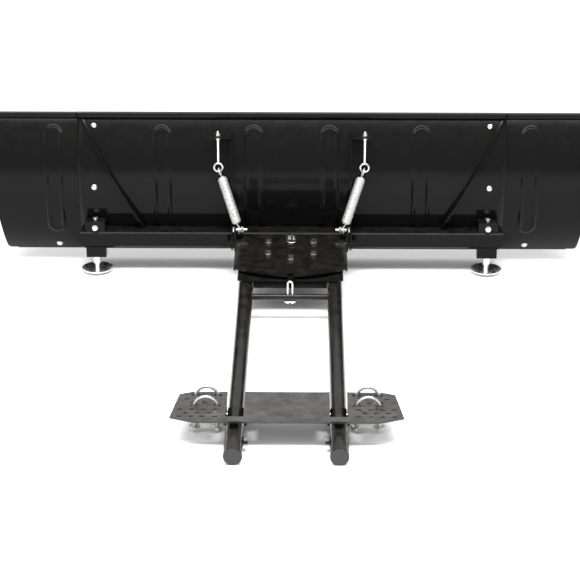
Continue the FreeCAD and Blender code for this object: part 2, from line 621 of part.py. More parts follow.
def slot_wire(sketch, x, y, half_long, half_wide):
    straight = half_long - half_wide
    for up in (-1, 1):
        edge = Part.LineSegment(V(x - straight, y + up * half_wide, 0), V(x + straight, y + up * half_wide, 0))
        sketch.addGeometry(edge, False)
        start = V(x + up * straight, y - half_wide, 0)
        end = V(x + up * straight, y + half_wide, 0)
        sketch.addGeometry(Part.Arc(start, V(x + up * half_long, y, 0), end), False)


def mount_plate():
    """Plate that clamps under the vehicle: slotted ends, cut-off corners, a notch over each push tube."""
    body = DOC.addObject("PartDesign::Body", "MountPlate")
    sketch = sketch_on(body, "XY_Plane", "mount_outline")
    far, near = -dim("mountFar"), -dim("mountNear")
    tube_x, notch = dim("tubeApart") / 2, dim("notchWide") / 2
    right = [(tube_x - notch, far), (tube_x - notch, near + 22), (tube_x + notch, near + 22),
             (tube_x + notch, far), (194, far), (dim("mountHalfFar"), far - 12),
             (dim("mountHalfNear"), near + 20), (185, near)]
    draw(sketch, right + [(-x, y) for x, y in reversed(right)])
    pad(body, sketch, "mountThick")
    holes = sketch_on(body, "XY_Plane", "mount_slots")
    for sign in (-1, 1):
        for x, y in slot_places():
            slot_wire(holes, sign * x, y, 5.5, 2.2)
        for row in u_bolt_rows():
            for leg in (-1, 1):
                at = dim("uBoltOut") + leg * dim("uBoltPitch") / 2
                slot_wire(holes, sign * at, row, 9.0, 4.0)
    pocket(body, holes)
    finish("mount_plate", body, lifted(level(), dim("mountUp")))


def hanger():
    """Ears under the mount plate beside both tubes, a stop block over each, and the pins and clips."""
    ears, pins, clips = [], [], []
    up = dim("kingUp") + (dim("kingBack") - dim("hangerBack")) * math.tan(math.radians(dim("frameTilt")))
    y = -dim("hangerBack")
    for sign in (-1, 1):
        x = sign * dim("tubeApart") / 2
        for side in (-1, 1):
            x0, x1 = sorted((x + side * 18.0, x + side * 23.0))
            ear = slab(x0, x1, y - 20, y + 20, up - 14, dim("mountUp") - 0.02)
            ears.append(ear.cut(rod(dim("hangerPin") / 2 + 0.05, V(x0 - 1, y, up), V(x1 + 1, y, up))))
        out = V(sign, 0, 0)
        pin = rod(dim("hangerPin") / 2, V(x, y, up) - out * 32.5, V(x, y, up) + out * 23.5)
        head = rod(9.5, V(x, y, up) + out * 23.2, V(x, y, up) + out * 27.5)
        pin = pin.fuse(head).cut(rod(1.4, V(x, y, up - 10) - out * 28.0, V(x, y, up + 10) - out * 28.0))
        pins.append(pin.removeSplitter())
        base = V(x, y, up) - out * 28.0
        clip = rod(1.3, base + V(0, 0, -9), base + V(0, 0, 11))
        clips.append(clip.fuse(Part.makeTorus(5, 1.3, base + V(0, 0, -14), V(1, 0, 0))))
        near = -dim("mountNear")
        ears.append(slab(x - 9, x + 9, near + 3, near + 20, 45.0, dim("mountUp") - 0.02))
    shape_part("hanger_ears", ears, level())
    shape_part("hanger_pins", pins, level())
    shape_part("hanger_clips", clips, level())


def u_bolts():
    """Four round U-bolts standing up through the mount plate, with flanged nuts far down their legs."""
    bolts, nuts = [], []
    bend, rod_r = dim("uBoltPitch") / 2, dim("uBoltRod") / 2
    centre_up = dim("mountUp") + dim("mountThick") - 4
    for sign in (-1, 1):
        for row in u_bolt_rows():
            x = sign * dim("uBoltOut")
            arch = Part.makeTorus(bend, rod_r, V(x, row, centre_up), V(0, 1, 0))
            arch = arch.common(slab(x - 60, x + 60, row - 20, row + 20, centre_up, centre_up + 60))
            legs = [rod(rod_r, V(x + leg * bend, row, 2.5), V(x + leg * bend, row, centre_up + 0.1))
                    for leg in (-1, 1)]
            bolts.append(arch.multiFuse(legs).removeSplitter())
            for leg in (-1, 1):
                low = V(x + leg * bend, row, 5.0)
                flange = Part.makeCylinder(12, 2.5, low + V(0, 0, 6), V(0, 0, 1))
                nut = flange.fuse(hexagon(low, V(0, 0, 1), 12, 6.5))
                nuts.append(nut.cut(rod(rod_r + 0.03, low + V(0, 0, -5), low + V(0, 0, 20))))
    shape_part("u_bolts", bolts, level())
    shape_part("u_bolt_nuts", nuts, level())


def build():
    fill_sheet()
    moldboard()
    bottom_channel()
    wing_bolt_group()
    eye_nuts = []
    end_caps = []
    clamp_bolts = []
    for side, sign in SIDES.items():
        wing(side, sign)
        wear_bar(side, sign)
        gusset(side, sign)
        rib_plate(side, sign)
        clamp_bolts.append(foot_socket(side, sign))
        foot(side, sign)
        eye_nuts += eye_bolt(side, sign)
        spring(side, sign)
        swivel_ear(side, sign)
        end_caps.append(tube(side, sign))
    shape_part("eye_nuts", eye_nuts, level())
    shape_part("foot_clamp_bolts", clamp_bolts, level())
    shape_part("end_caps", end_caps, leaning())
    swivel_plate()
    swivel_fasteners()
    king_pin()
    cross_plate()
    tube_fittings()
    mount_plate()
    hanger()
    u_bolts()
    DOC.recompute()


def export():
    """Stops at anything that failed, then writes one file for each sub-part."""
    for obj in DOC.Objects:
        if "Invalid" in obj.State or "Error" in obj.State:
            raise RuntimeError(f"{obj.Name} did not recompute: {obj.State}")
    for obj in PARTS:
        if obj.Shape.isNull() or not obj.Shape.isValid():
            raise RuntimeError(f"{obj.Label} has no valid shape")
    os.makedirs("parts", exist_ok=True)
    for obj in PARTS:
        obj.Shape.exportStep(os.path.join("parts", obj.Label + ".step"))
        print(obj.Label, len(obj.Shape.Solids), round(obj.Shape.Volume))


build()
export()
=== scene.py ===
import json
import math

import bmesh
import bpy
import numpy as np
from bpy.props import FloatProperty, FloatVectorProperty, IntProperty, PointerProperty
from bpy.types import Operator, Panel, PropertyGroup
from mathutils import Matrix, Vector


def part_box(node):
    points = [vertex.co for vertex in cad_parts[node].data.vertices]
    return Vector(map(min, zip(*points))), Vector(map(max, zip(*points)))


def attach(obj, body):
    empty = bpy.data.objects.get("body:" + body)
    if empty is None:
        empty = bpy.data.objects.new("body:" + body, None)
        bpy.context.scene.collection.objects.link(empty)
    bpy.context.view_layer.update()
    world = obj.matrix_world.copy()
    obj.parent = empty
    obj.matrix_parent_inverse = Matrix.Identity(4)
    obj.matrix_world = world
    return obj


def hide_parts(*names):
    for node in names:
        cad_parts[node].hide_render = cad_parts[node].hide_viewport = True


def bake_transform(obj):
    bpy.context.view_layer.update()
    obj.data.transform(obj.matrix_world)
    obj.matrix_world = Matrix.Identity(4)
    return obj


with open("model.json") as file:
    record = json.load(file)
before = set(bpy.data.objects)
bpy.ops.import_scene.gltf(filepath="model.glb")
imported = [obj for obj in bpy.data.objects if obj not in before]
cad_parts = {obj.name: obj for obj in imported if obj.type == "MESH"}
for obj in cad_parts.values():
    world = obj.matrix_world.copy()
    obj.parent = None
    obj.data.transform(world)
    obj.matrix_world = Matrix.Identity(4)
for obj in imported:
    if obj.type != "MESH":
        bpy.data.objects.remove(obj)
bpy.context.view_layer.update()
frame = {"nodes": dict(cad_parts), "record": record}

bl_info = {
    "name": "Snow Plow Dressing",
    "version": (1, 0, 0),
    "blender": (4, 5, 0),
    "location": "View3D > Sidebar > Snow Plow",
    "description": "Paint, zinc, pressed sheet and coil springs for a small vehicle's snow plow",
    "category": "Object",
}

SIDES = (("left", -1.0), ("right", 1.0))

# Sizes in metres. Places across the blade are measured from its middle.
CENTRE_RIBS = (-0.321, -0.094, 0.094, 0.321)
END_RIB = 0.591
RIB_BELOW_TOP = 0.028
CENTRE_RIB_FOOT = 0.079     # a centre rib's open foot, above the sheet's bottom edge
END_RIB_FOOT = 0.057        # an end rib's closed foot, above the sheet's bottom edge
LINE_DEPTH = 0.003          # from the moldboard's rearmost point to the arc's back
ARC_RISE = 0.1952           # the arc's centre above the moldboard's bottom edge
END_SETBACK = 0.0031        # how much smaller the end panels' radius is
CORNER_CUT = 0.006          # bottom corner cut off each end panel
END_LEAN = 0.033            # how far a free end runs out from bottom to top
END_LIP_START = 0.531
COIL_REACH = 0.012          # outer radius of a spring coil
COIL_END = 0.016            # from the spring's foot to the first turn
POINTS_PER_TURN = 22
CAMERA_PLACE = (0.040, -3.530, 1.568)
CAMERA_YAW = 0.0109
FLOOR_REACH = 14.0


def middle(node):
    """Centre of a node's box."""
    low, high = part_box(node)
    return (Vector(low) + Vector(high)) / 2


# ---------------------------------------------------------------- settings

class PlowPaintSettings(PropertyGroup):
    """Colours of the finishes."""
    paint: FloatVectorProperty(name="Paint", description="Gloss black paint", subtype="COLOR",
                               default=(0.0033, 0.0032, 0.0032), min=0, max=1)
    plate: FloatVectorProperty(name="Plate", description="Powder coat of the mount plate", subtype="COLOR",
                               default=(0.012, 0.012, 0.0115), min=0, max=1)
    zinc: FloatVectorProperty(name="Zinc", description="Bright zinc plating", subtype="COLOR",
                              default=(0.78, 0.78, 0.77), min=0, max=1)
    dust: FloatVectorProperty(name="Dust", description="Fine dust lying on upward faces", subtype="COLOR",
                              default=(0.30, 0.28, 0.25), min=0, max=1)
    gloss: FloatProperty(name="Gloss roughness", description="Roughness of fresh paint", default=0.13,
                         min=0.02, max=0.6)


class PlowShapeSettings(PropertyGroup):
    """Sizes of the pieces that are made here."""
    radius: FloatProperty(name="Arc radius", description="Radius of the blade's back", default=0.292,
                          min=0.1, unit="LENGTH")
    sheet: FloatProperty(name="Sheet", description="Thickness of the pressed sheet", default=0.003,
                         min=0.001, unit="LENGTH")
    rib_width: FloatProperty(name="Rib width", description="Width over a pressed rib", default=0.048,
                             min=0.01, unit="LENGTH")
    bead: FloatProperty(name="Bead width", description="Width of the rib's raised line", default=0.013,
                        min=0.002, unit="LENGTH")
    bead_height: FloatProperty(name="Bead height", description="How far the line stands out",
                               default=0.0029, min=0.0005, unit="LENGTH")
    coil_turns: IntProperty(name="Coil turns", description="Turns of wire in each spring", default=34, min=4)
    wire: FloatProperty(name="Wire", description="Diameter of the spring wire", default=0.0034,
                        min=0.001, unit="LENGTH")


class PlowStageSettings(PropertyGroup):
    """Light and camera."""
    key_power: FloatProperty(name="Key light", description="Power of the overhead panel", default=18.0,
                             min=0, unit="POWER")
    strip_power: FloatProperty(name="Strip light", default=160.0, min=0, unit="POWER",
                               description="Power of the narrow panel that lights the ribs")
    lens: FloatProperty(name="Lens", description="Focal length", default=105.5, min=20)
    tilt: FloatProperty(name="Camera tilt", description="How far the camera looks down",
                        default=math.radians(22.0), subtype="ANGLE")


# ---------------------------------------------------------------- shader groups

def group_sockets(group, inputs, outputs):
    """Gives a node group its inputs, with their defaults, and its outputs."""
    for name, kind, value in inputs:
        socket = group.interface.new_socket(name, in_out="INPUT", socket_type=kind)
        if value is not None:
            socket.default_value = value
    for name, kind in outputs:
        group.interface.new_socket(name, in_out="OUTPUT", socket_type=kind)


def add(nodes, kind, **values):
    """New node; each value sets a property of that name or, if there is none, an input."""
    node = nodes.new(kind)
    for name, value in values.items():
        if name in node.bl_rna.properties:
            setattr(node, name, value)
        else:
            node.inputs[name.replace("_", " ")].default_value = value
    return node


def scratch_group():
    """Fine handling scratches and specks: stretched noise cut to thin lines, broken up by a coarse noise."""
    group = bpy.data.node_groups.new("Handling Marks", "ShaderNodeTree")
    group_sockets(group, [("Scale", "NodeSocketFloat", 60.0), ("Amount", "NodeSocketFloat", 0.3)],
                  [("Mask", "NodeSocketFloat"), ("Mottle", "NodeSocketFloat")])
    nodes, links = group.nodes, group.links
    enter, leave = nodes.new("NodeGroupInput"), nodes.new("NodeGroupOutput")
    where = nodes.new("ShaderNodeTexCoord")
    turn = nodes.new("ShaderNodeMapping")
    turn.inputs["Rotation"].default_value = (0.3, 0.5, 0.8)
    turn.inputs["Scale"].default_value = (1.0, 14.0, 9.0)
    lines = add(nodes, "ShaderNodeTexNoise", Detail=4.0, Roughness=0.6)
    thin = nodes.new("ShaderNodeMapRange")
    thin.inputs["From Min"].default_value = 0.66
    thin.inputs["From Max"].default_value = 0.74
    coarse = add(nodes, "ShaderNodeTexNoise", Scale=7.0, Detail=5.0, Roughness=0.55)
    patch = nodes.new("ShaderNodeMapRange")
    patch.inputs["From Min"].default_value = 0.45
    patch.inputs["From Max"].default_value = 0.7
    both = add(nodes, "ShaderNodeMath", operation="MULTIPLY")
    amount = add(nodes, "ShaderNodeMath", operation="MULTIPLY")
    links.new(where.outputs["Object"], turn.inputs["Vector"])
    links.new(turn.outputs["Vector"], lines.inputs["Vector"])
    links.new(enter.outputs["Scale"], lines.inputs["Scale"])
    links.new(where.outputs["Object"], coarse.inputs["Vector"])
    links.new(lines.outputs["Fac"], thin.inputs["Value"])
    links.new(coarse.outputs["Fac"], patch.inputs["Value"])
    links.new(thin.outputs["Result"], both.inputs[0])
    links.new(patch.outputs["Result"], both.inputs[1])
    links.new(both.outputs["Value"], amount.inputs[0])
    links.new(enter.outputs["Amount"], amount.inputs[1])
    links.new(amount.outputs["Value"], leave.inputs["Mask"])
    links.new(coarse.outputs["Fac"], leave.inputs["Mottle"])
    return group


def dust_group():
    """Dust that lies where the surface faces up, in soft patches: the normal's up part times a noise."""
    group = bpy.data.node_groups.new("Settled Dust", "ShaderNodeTree")
    group_sockets(group, [("Amount", "NodeSocketFloat", 0.1)], [("Mask", "NodeSocketFloat")])
    nodes, links = group.nodes, group.links
    enter, leave = nodes.new("NodeGroupInput"), nodes.new("NodeGroupOutput")
    surface = nodes.new("ShaderNodeNewGeometry")
    split = nodes.new("ShaderNodeSeparateXYZ")
    upward = nodes.new("ShaderNodeMapRange")
    upward.inputs["From Min"].default_value = 0.2
    upward.inputs["From Max"].default_value = 1.0
    where = nodes.new("ShaderNodeTexCoord")
    grain = add(nodes, "ShaderNodeTexNoise", Scale=38.0, Detail=7.0, Roughness=0.65)
    soft = nodes.new("ShaderNodeMapRange")
    soft.inputs["From Min"].default_value = 0.35
    soft.inputs["From Max"].default_value = 0.7
    both = add(nodes, "ShaderNodeMath", operation="MULTIPLY")
    amount = add(nodes, "ShaderNodeMath", operation="MULTIPLY")
    links.new(surface.outputs["Normal"], split.inputs[0])
    links.new(split.outputs["Z"], upward.inputs["Value"])
    links.new(where.outputs["Object"], grain.inputs["Vector"])
    links.new(grain.outputs["Fac"], soft.inputs["Value"])
    links.new(upward.outputs["Result"], both.inputs[0])
    links.new(soft.outputs["Result"], both.inputs[1])
    links.new(both.outputs["Value"], amount.inputs[0])
    links.new(enter.outputs["Amount"], amount.inputs[1])
    links.new(amount.outputs["Value"], leave.inputs["Mask"])
    return group


def peel_group():
    """Orange peel of sprayed paint and the slow waves of rolled sheet, as one bumped normal."""
    group = bpy.data.node_groups.new("Paint Peel", "ShaderNodeTree")
    group_sockets(group, [("Fine", "NodeSocketFloat", 420.0), ("Depth", "NodeSocketFloat", 0.08),
                          ("Waves", "NodeSocketFloat", 0.25)], [("Normal", "NodeSocketVector")])
    nodes, links = group.nodes, group.links
    enter, leave = nodes.new("NodeGroupInput"), nodes.new("NodeGroupOutput")
    where = nodes.new("ShaderNodeTexCoord")
    fine = add(nodes, "ShaderNodeTexNoise", Detail=2.0)
    slow = add(nodes, "ShaderNodeTexNoise", Scale=5.0, Detail=1.0)
    first = nodes.new("ShaderNodeBump")
    first.inputs["Distance"].default_value = 0.004
    second = nodes.new("ShaderNodeBump")
    second.inputs["Distance"].default_value = 0.0002
    links.new(where.outputs["Object"], fine.inputs["Vector"])
    links.new(where.outputs["Object"], slow.inputs["Vector"])
    links.new(enter.outputs["Fine"], fine.inputs["Scale"])
    links.new(enter.outputs["Waves"], first.inputs["Strength"])
    links.new(enter.outputs["Depth"], second.inputs["Strength"])
    links.new(slow.outputs["Fac"], first.inputs["Height"])
    links.new(fine.outputs["Fac"], second.inputs["Height"])
    links.new(first.outputs["Normal"], second.inputs["Normal"])
    links.new(second.outputs["Normal"], leave.inputs["Normal"])
    return group


def shared(name, maker):
    return bpy.data.node_groups.get(name) or maker()


def place_group(nodes, name, maker, **values):
    node = nodes.new("ShaderNodeGroup")
    node.node_tree = shared(name, maker)
    for key, value in values.items():
        node.inputs[key].default_value = value
    return node


def mixed(nodes, links, fac, first, second):
    """Colour mix whose sides are a socket or a plain colour."""
    mix = nodes.new("ShaderNodeMix")
    mix.data_type = "RGBA"
    links.new(fac, mix.inputs["Factor"])
    for side, value in (("A", first), ("B", second)):
        socket = [s for s in mix.inputs if s.name == side and s.type == "RGBA"][0]
        if hasattr(value, "links"):
            links.new(value, socket)
        else:
            socket.default_value = (*value, 1.0)
    return [s for s in mix.outputs if s.type == "RGBA"][0]


def new_material(name):
    material = bpy.data.materials.new(name)
    material.use_nodes = True
    nodes = material.node_tree.nodes
    return material, nodes, material.node_tree.links, nodes["Principled BSDF"]


def black_paint(name, colour, dust_colour, roughness, dust=0.10, marks=0.25, waves=0.2, gleam=0.08):
    """Black paint: a deep base, mottled gloss, faint scuffs and dust, and the sheet's own waviness."""
    material, nodes, links, shader = new_material(name)
    scuffs = place_group(nodes, "Handling Marks", scratch_group, Scale=34.0, Amount=marks)
    settled = place_group(nodes, "Settled Dust", dust_group, Amount=dust)
    skin = place_group(nodes, "Paint Peel", peel_group, Fine=430.0, Depth=0.10, Waves=waves)
    scuffed = mixed(nodes, links, scuffs.outputs["Mask"], colour, tuple(min(1, c * 9 + 0.03) for c in colour))
    dusty = mixed(nodes, links, settled.outputs["Mask"], scuffed, dust_colour)
    links.new(dusty, shader.inputs["Base Color"])
    spread = nodes.new("ShaderNodeMapRange")
    spread.inputs["To Min"].default_value = roughness * 0.75
    spread.inputs["To Max"].default_value = roughness * 1.5
    links.new(scuffs.outputs["Mottle"], spread.inputs["Value"])
    rough = add(nodes, "ShaderNodeMath", operation="ADD")
    links.new(spread.outputs["Result"], rough.inputs[0])
    links.new(scuffs.outputs["Mask"], rough.inputs[1])
    dull = add(nodes, "ShaderNodeMath", operation="ADD", use_clamp=True)
    links.new(rough.outputs["Value"], dull.inputs[0])
    links.new(settled.outputs["Mask"], dull.inputs[1])
    links.new(dull.outputs["Value"], shader.inputs["Roughness"])
    links.new(skin.outputs["Normal"], shader.inputs["Normal"])
    shader.inputs["Specular IOR Level"].default_value = gleam
    shader.inputs["Coat Weight"].default_value = 0.03
    shader.inputs["Coat Roughness"].default_value = 0.06
    return material


def zinc_metal(name, colour, roughness, spangle=220.0, tarnish=0.5, metallic=1.0):
    """Zinc plating: bright metal with a fine crystal mottle, dull streaks and small dents."""
    material, nodes, links, shader = new_material(name)
    where = nodes.new("ShaderNodeTexCoord")
    crystal = add(nodes, "ShaderNodeTexVoronoi", Scale=spangle)
    links.new(where.outputs["Object"], crystal.inputs["Vector"])
    cloud = add(nodes, "ShaderNodeTexNoise", Scale=46.0, Detail=6.0, Roughness=0.6)
    links.new(where.outputs["Object"], cloud.inputs["Vector"])
    scuffs = place_group(nodes, "Handling Marks", scratch_group, Scale=120.0, Amount=0.35)
    fade = nodes.new("ShaderNodeMapRange")
    fade.inputs["From Min"].default_value = 0.4
    fade.inputs["From Max"].default_value = 0.75
    fade.inputs["To Max"].default_value = tarnish
    links.new(cloud.outputs["Fac"], fade.inputs["Value"])
    tone = mixed(nodes, links, fade.outputs["Result"], colour, tuple(c * 0.62 for c in colour))
    marked = mixed(nodes, links, scuffs.outputs["Mask"], tone, tuple(c * 0.4 for c in colour))
    links.new(marked, shader.inputs["Base Color"])
    shader.inputs["Metallic"].default_value = metallic
    spread = nodes.new("ShaderNodeMapRange")
    spread.inputs["To Min"].default_value = roughness * 0.7
    spread.inputs["To Max"].default_value = roughness * 1.6
    links.new(crystal.outputs["Color"], spread.inputs["Value"])
    links.new(spread.outputs["Result"], shader.inputs["Roughness"])
    bump = nodes.new("ShaderNodeBump")
    bump.inputs["Strength"].default_value = 0.25
    bump.inputs["Distance"].default_value = 0.0002
    links.new(crystal.outputs["Distance"], bump.inputs["Height"])
    links.new(bump.outputs["Normal"], shader.inputs["Normal"])
    return material


def black_plastic(name, colour):
    """Moulded cap: fine leather grain with a dull, even sheen."""
    material, nodes, links, shader = new_material(name)
    where = nodes.new("ShaderNodeTexCoord")
    grain = add(nodes, "ShaderNodeTexNoise", Scale=900.0, Detail=3.0)
    links.new(where.outputs["Object"], grain.inputs["Vector"])
    settled = place_group(nodes, "Settled Dust", dust_group, Amount=0.25)
    links.new(mixed(nodes, links, settled.outputs["Mask"], colour, (0.1, 0.095, 0.09)),
              shader.inputs["Base Color"])
    spread = nodes.new("ShaderNodeMapRange")
    spread.inputs["To Min"].default_value = 0.42
    spread.inputs["To Max"].default_value = 0.62
    links.new(grain.outputs["Fac"], spread.inputs["Value"])
    links.new(spread.outputs["Result"], shader.inputs["Roughness"])
    bump = nodes.new("ShaderNodeBump")
    bump.inputs["Distance"].default_value = 0.0003
    bump.inputs["Strength"].default_value = 0.4
    links.new(grain.outputs["Fac"], bump.inputs["Height"])
    links.new(bump.outputs["Normal"], shader.inputs["Normal"])
    return material


FINISHES = {}


def finish_of(slot):
    """The material of one of the record's slots, made once."""
    if slot not in FINISHES:
        paint = bpy.context.scene.plow_paint
        black, dust = tuple(paint.paint), tuple(paint.dust)
        makers = {
            "blade_black": lambda: black_paint("Gloss Blade Paint", black, dust, paint.gloss,
                                               dust=0.03, marks=0.12, waves=0.12),
            "mount_black": lambda: black_paint("Mount Plate Coat", tuple(paint.plate), dust, 0.2,
                                               dust=0.16, marks=0.3, waves=0.1, gleam=0.5),
            "tube_black": lambda: black_paint("Tube Paint", black, dust, 0.17, 0.05, 0.25, 0.0, 0.22),
            "wear_steel": lambda: black_paint("Wear Bar Paint", black, dust, 0.28, 0.1, 0.8, 0.15),
            "zinc": lambda: zinc_metal("Bright Zinc", tuple(c * 0.85 for c in paint.zinc), 0.24),
            "galvanised": lambda: zinc_metal("Skid Foot Zinc", tuple(paint.zinc), 0.3, 130.0, 0.75),
            "spring_steel": lambda: zinc_metal("Spring Zinc", tuple(c * 0.68 for c in paint.zinc), 0.3,
                                               tarnish=0.3, metallic=0.6),
            "cap_plastic": lambda: black_plastic("Cap Plastic", (0.012, 0.012, 0.013)),
        }
        FINISHES[slot] = makers[slot]()
    return FINISHES[slot]


# ---------------------------------------------------------------- surfaces

def mesh_object(name, points, faces, slot):
    """Smooth-shaded object from points and faces, with the finish of a material slot."""
    mesh = bpy.data.meshes.new(name)
    faces = faces if isinstance(faces, list) else faces.tolist()
    mesh.from_pydata(np.asarray(points).reshape(-1, 3).tolist(), [], faces)
    mesh.polygons.foreach_set("use_smooth", np.full(len(mesh.polygons), True))
    mesh.update()
    thing = bpy.data.objects.new(name, mesh)
    bpy.context.scene.collection.objects.link(thing)
    thing.data.materials.append(finish_of(slot))
    return thing


def grid_faces(rows, columns, wrap_columns=False, offset=0):
    """Quads of a grid of rows by columns, row after row; the last column may join the first."""
    across = columns if wrap_columns else columns - 1
    r, c = np.meshgrid(np.arange(rows - 1), np.arange(across), indexing="ij")
    after = (c + 1) % columns
    near, far = r * columns, (r + 1) * columns
    quads = np.stack([near + c, near + after, far + after, far + c], -1)
    return quads.reshape(-1, 4) + offset


def tube_along(path, radius, sides=12, start_normal=(0.0, 0.0, 1.0)):
    """Points and faces of a round tube: at each path point a circle of the given radius, in the plane of
    two directions across the path; both ends are closed with a fan. Radius may vary along the path."""
    path = np.asarray(path, float)
    tangent = np.gradient(path, axis=0)
    tangent /= np.linalg.norm(tangent, axis=1, keepdims=True)
    reference = np.asarray(start_normal, float)
    first = np.cross(tangent, reference)
    first /= np.linalg.norm(first, axis=1, keepdims=True)
    second = np.cross(tangent, first)
    angle = np.linspace(0, 2 * np.pi, sides, endpoint=False)
    reach = np.broadcast_to(np.asarray(radius, float), (len(path),))[:, None, None]
    ring = (first[:, None] * np.cos(angle)[None, :, None] + second[:, None] * np.sin(angle)[None, :, None])
    points = (path[:, None] + ring * reach).reshape(-1, 3)
    faces = grid_faces(len(path), sides, wrap_columns=True).tolist()
    faces.append(list(range(sides))[::-1])
    last = (len(path) - 1) * sides
    faces.append(list(range(last, last + sides)))
    return points, faces


def outward(thing):
    """Turns a closed piece's faces outwards."""
    work = bmesh.new()
    work.from_mesh(thing.data)
    bmesh.ops.recalc_face_normals(work, faces=work.faces)
    work.to_mesh(thing.data)
    work.free()


def smooth_step(value):
    """Eases from 0 to 1, level at both ends."""
    value = np.clip(value, 0.0, 1.0)
    return value * value * (3 - 2 * value)


def bead_height(x, height, centre, top, bottom, closed, shape):
    """Height of a pressed upturned-U line: a smooth hump on the distance to a stadium outline whose
    half width is that of the rib; an open rib fades out at its foot."""
    half = (shape.rib_width - shape.bead) / 2
    arch_centre = top - shape.rib_width / 2
    foot_centre = bottom + shape.rib_width / 2 if closed else -1e3
    past_top = np.maximum(height - arch_centre, 0)
    past_foot = np.maximum(foot_centre - height, 0)
    away = np.hypot(x - centre, past_top + past_foot)
    hump = np.cos(np.clip((away - half) / (0.55 * shape.bead), -1, 1) * np.pi) * 0.5 + 0.5
    return shape.bead_height * hump * smooth_step((height - bottom) / 0.004)


def arc_frame():
    """Where the arc of the blade's back is centred, forward and up, in metres: the radius ahead of the
    sheet's rearmost line, which lies one pressed line inside the moldboard's box."""
    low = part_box("moldboard")[0]
    return low[1] + bpy.context.scene.plow_shape.radius + LINE_DEPTH, low[2] + ARC_RISE


def sheet_back(radius, up):
    """Forward place of the arc's back at a height: the centre less the arc's half chord there."""
    forward, rise = arc_frame()
    return forward - np.sqrt(radius ** 2 - (up - rise) ** 2)


def fine_steps(start, stop, centres, reach, coarse, fine):
    """Positions between two ends: coarse steps everywhere and fine ones near each centre."""
    marks = [np.arange(start, stop, coarse), [stop]]
    for centre in centres:
        marks.append(np.arange(max(start, centre - reach), min(stop, centre + reach), fine))
    every = np.unique(np.round(np.concatenate(marks), 6))
    keep = np.concatenate([[True], np.diff(every) > fine * 0.45])
    keep[-1] = True
    return every[keep]


def pressed_sheet(node, radius, xs, ups, ribs, outline):
    """Pressed sheet on the blade's arc. Back point: arc centre plus (radius + bead height) along the
    direction whose up part is (up - centre up) over the radius; front point the same, one thickness in.
    outline(up) gives the lowest and highest x of a row, and the columns are squeezed between them."""
    shape = bpy.context.scene.plow_shape
    forward, rise = arc_frame()
    up, x = np.meshgrid(ups, xs, indexing="ij")
    low_x, high_x = outline(up)
    x = np.clip(x, low_x, high_x)
    hump = sum(bead_height(x, up, centre, top, bottom, closed, shape) for centre, top, bottom, closed in ribs)
    sine = (up - rise) / radius
    cosine = np.sqrt(1 - sine ** 2)
    sides = []
    for reach in (radius + hump, radius + hump - shape.sheet):
        sides.append(np.stack([x, forward - reach * cosine, rise + reach * sine], -1))
    rows, columns = x.shape
    points = np.concatenate([sides[0].reshape(-1, 3), sides[1].reshape(-1, 3)])
    back = grid_faces(rows, columns)
    front = grid_faces(rows, columns, offset=rows * columns)[:, ::-1]
    rim = np.concatenate([np.arange(columns), np.arange(1, rows) * columns + columns - 1,
                          (rows - 1) * columns + np.arange(columns - 2, -1, -1),
                          np.arange(rows - 2, 0, -1) * columns])
    after = np.roll(rim, -1)
    total = rows * columns
    edge = np.stack([rim, rim + total, after + total, after], -1)
    thing = mesh_object(f"pressed_{node}", points, np.concatenate([back, front, edge]), "blade_black")
    clean_up(thing)
    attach(thing, "blade")
    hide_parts(node)


def folded_lip(name, node, radius, ends, low, high, back):
    """Strip along the blade's top edge: one profile with rounded corners, running between two end lines
    whose x may differ from bottom to top. Its front follows the slope of the sheet's back."""
    sheet = sheet_back(radius, low)
    corners = [(back, low), (back, high), (sheet + 0.007, high),
               (sheet + 0.007, low + 0.6 * (high - low)), (sheet + 0.0005, low)]
    profile = rounded(corners, 0.0022)
    share = (profile[:, 1] - low) / (high - low)
    rows = []
    for step in np.linspace(0, 1, 60):
        near = ends[0][0] + (ends[0][1] - ends[0][0]) * share
        far = ends[1][0] + (ends[1][1] - ends[1][0]) * share
        rows.append(np.column_stack([near + (far - near) * step, profile]))
    columns = len(profile)
    faces = grid_faces(len(rows), columns, wrap_columns=True).tolist()
    faces.append(list(range(columns)))
    faces.append(list(range((len(rows) - 1) * columns, len(rows) * columns)))
    thing = mesh_object(name, np.stack(rows), faces, "blade_black")
    outward(thing)
    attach(thing, "blade")
    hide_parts(node)


def rounded(corners, reach):
    """Closed outline with each corner swapped for a short curve that leaves one side and meets the next."""
    corners = np.array(corners, float)
    blend = np.linspace(0, 1, 5)[:, None]
    curves = []
    for before, corner, after in zip(np.roll(corners, 1, 0), corners, np.roll(corners, -1, 0)):
        start = corner + (before - corner) * min(0.45, reach / np.linalg.norm(before - corner))
        end = corner + (after - corner) * min(0.45, reach / np.linalg.norm(after - corner))
        curves.append(start * (1 - blend) ** 2 + corner * 2 * blend * (1 - blend) + end * blend ** 2)
    return np.concatenate(curves)


def clean_up(thing):
    """Joins points that fell together and drops faces with no area, then turns faces outwards."""
    work = bmesh.new()
    work.from_mesh(thing.data)
    bmesh.ops.remove_doubles(work, verts=work.verts, dist=1e-5)
    bmesh.ops.dissolve_degenerate(work, edges=work.edges, dist=1e-6)
    bmesh.ops.recalc_face_normals(work, faces=work.faces)
    work.to_mesh(thing.data)
    work.free()
    thing.data.polygons.foreach_set("use_smooth", np.full(len(thing.data.polygons), True))


# ---------------------------------------------------------------- operators

class PLOW_OT_finishes(Operator):
    """Give every metal and plastic part its finish"""
    bl_idname = "plow.finishes"
    bl_label = "Finishes"

    def execute(self, context):
        slots = {entry["node"]: entry["material_slot"] for entry in frame["record"]["subparts"]}
        for name, thing in frame["nodes"].items():
            for index in range(len(thing.material_slots)):
                thing.material_slots[index].material = finish_of(slots[name])
        return {"FINISHED"}


